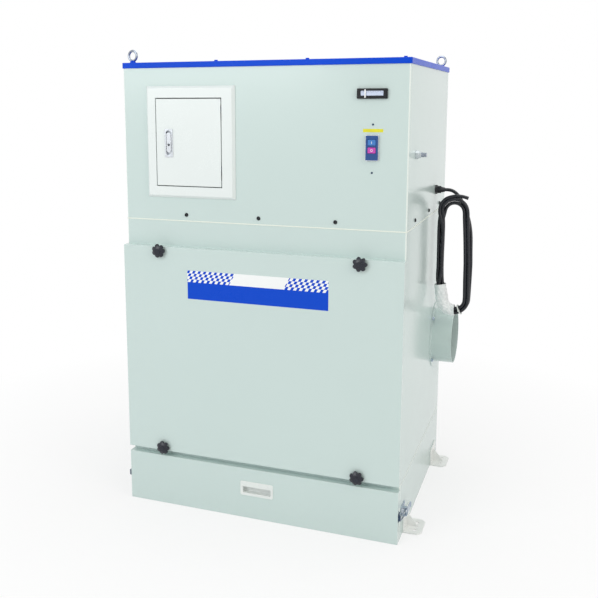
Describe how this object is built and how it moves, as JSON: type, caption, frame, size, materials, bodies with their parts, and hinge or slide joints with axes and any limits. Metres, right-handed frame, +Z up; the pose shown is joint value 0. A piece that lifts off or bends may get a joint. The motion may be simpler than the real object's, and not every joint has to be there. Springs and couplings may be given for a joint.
{
  "type": "pulse jet dust collector",
  "caption": "Floor-standing sheet-steel dust collector cabinet with blue lid, control door, knob-held front cover, side-latched dust drawer, round side inlet and a hanging power cord.",
  "frame": {"origin": "on the floor, under the middle of the cabinet walls", "axes": "+Z up along the cabinet's height, +X along its width towards the air inlet on the right side, -Y towards the front with the cover and the drawer"},
  "size_m": [1.113, 0.8011, 1.543],
  "materials": {
    "cabinet_paint": "semi-gloss pale ivory paint",
    "lid_paint": "semi-gloss royal blue paint",
    "frame_paint": "semi-gloss white paint",
    "seam_edge": "semi-gloss ivory paint",
    "box_inner": "matt grey-white paint",
    "plated_steel": "zinc-plated steel",
    "eye_steel": "polished steel",
    "lock_metal": "satin metal",
    "gauge_black": "black moulded plastic",
    "dial_white": "printed white scale",
    "switch_blue": "dark blue moulded plastic",
    "button_blue": "blue button",
    "button_red": "red button",
    "knob_black": "black moulded plastic",
    "pull_white": "white moulded plastic",
    "bracket_white": "white paint",
    "hook_dark": "dark plated steel",
    "gland_black": "black nylon",
    "cord_black": "black rubber sheath",
    "sleeve_white": "thin white plastic film"
  },
  "bodies": {
    "cabinet": {"base_pan": "cabinet_paint", "left_wall": "cabinet_paint", "right_wall": "cabinet_paint", "rear_wall": "cabinet_paint", "front_frame": "cabinet_paint", "seam_deck": "seam_edge", "upper_left_wall": "cabinet_paint", "upper_right_wall": "cabinet_paint", "upper_rear_wall": "cabinet_paint", "upper_front_wall": "cabinet_paint", "lid": "lid_paint", "lifting_eyes": "eye_steel", "control_frame": "frame_paint", "control_box": "box_inner", "control_hinge": "plated_steel", "gauge_case": "gauge_black", "gauge_dial": "dial_white", "switch_case": "switch_blue", "front_cover": "cabinet_paint", "latch_bases": "plated_steel", "floor_brackets": "bracket_white", "inlet_spigot": "cabinet_paint", "air_fitting": "plated_steel", "cord_gland": "gland_black", "power_cord": "cord_black", "cord_coil": "cord_black", "cord_sleeve": "sleeve_white", "exhaust_louvre": "cabinet_paint"},
    "control_door": {"control_door": "frame_paint", "lock_plate": "lock_metal"},
    "lock_lever": {"lock_lever": "lock_metal"},
    "on_button": {"switch_on_button": "button_blue"},
    "off_button": {"switch_off_button": "button_red"},
    "knob_upper_left": {"knob_upper_left": "knob_black"},
    "knob_upper_right": {"knob_upper_right": "knob_black"},
    "knob_lower_left": {"knob_lower_left": "knob_black"},
    "knob_lower_right": {"knob_lower_right": "knob_black"},
    "dust_drawer": {"drawer_front": "cabinet_paint", "drawer_tray": "plated_steel", "drawer_pull": "pull_white", "drawer_hooks": "hook_dark"},
    "latch_lever_right": {"latch_lever_right": "plated_steel"},
    "latch_bail_right": {"latch_bail_right": "plated_steel"},
    "latch_lever_left": {"latch_lever_left": "plated_steel"},
    "latch_bail_left": {"latch_bail_left": "plated_steel"}
  },
  "joints": [
    {"name": "control_door_hinge", "type": "hinge", "parent": "cabinet", "child": "control_door", "pos_m": [-0.128, -0.376, 1.245], "axis": [0, 0, 1], "range_deg": [0, 105]},
    {"name": "lock_lever_lift", "type": "hinge", "parent": "control_door", "child": "lock_lever", "pos_m": [-0.304, -0.3805, 1.272], "axis": [-1, 0, 0], "range_deg": [0, 70]},
    {"name": "on_button_press", "type": "slide", "parent": "cabinet", "child": "on_button", "axis": [0, 1, 0], "range_m": [0, 0.003], "stiffness_N_per_m": 300, "springref_m": -0.001},
    {"name": "off_button_press", "type": "slide", "parent": "cabinet", "child": "off_button", "axis": [0, 1, 0], "range_m": [0, 0.003], "stiffness_N_per_m": 300, "springref_m": -0.001},
    {"name": "knob_turn_upper_left", "type": "hinge", "parent": "cabinet", "child": "knob_upper_left", "pos_m": [-0.34, -0.396, 0.891], "axis": [0, -1, 0], "continuous": true},
    {"name": "knob_turn_upper_right", "type": "hinge", "parent": "cabinet", "child": "knob_upper_right", "pos_m": [0.34, -0.396, 0.891], "axis": [0, -1, 0], "continuous": true},
    {"name": "knob_turn_lower_left", "type": "hinge", "parent": "cabinet", "child": "knob_lower_left", "pos_m": [-0.34, -0.396, 0.206], "axis": [0, -1, 0], "continuous": true},
    {"name": "knob_turn_lower_right", "type": "hinge", "parent": "cabinet", "child": "knob_lower_right", "pos_m": [0.34, -0.396, 0.206], "axis": [0, -1, 0], "continuous": true},
    {"name": "drawer_slide", "type": "slide", "parent": "cabinet", "child": "dust_drawer", "axis": [0, -1, 0], "range_m": [0, 0.45]},
    {"name": "latch_lever_right_open", "type": "hinge", "parent": "cabinet", "child": "latch_lever_right", "pos_m": [0.4865, -0.338, 0.088], "axis": [0, 0, -1], "range_deg": [0, 110]},
    {"name": "latch_bail_right_swing", "type": "hinge", "parent": "latch_lever_right", "child": "latch_bail_right", "pos_m": [0.4865, -0.345, 0.088], "axis": [0, 0, -1], "range_deg": [-148.5, 0]},
    {"name": "latch_lever_left_open", "type": "hinge", "parent": "cabinet", "child": "latch_lever_left", "pos_m": [-0.4865, -0.338, 0.088], "axis": [0, 0, 1], "range_deg": [0, 110]},
    {"name": "latch_bail_left_swing", "type": "hinge", "parent": "latch_lever_left", "child": "latch_bail_left", "pos_m": [-0.4865, -0.345, 0.088], "axis": [0, 0, 1], "range_deg": [-148.5, 0]}
  ],
  "couplings": [
    {"joint": "latch_bail_right_swing", "follows": "latch_lever_right_open", "ratio": -1.35},
    {"joint": "latch_bail_left_swing", "follows": "latch_lever_left_open", "ratio": -1.35}
  ]
}
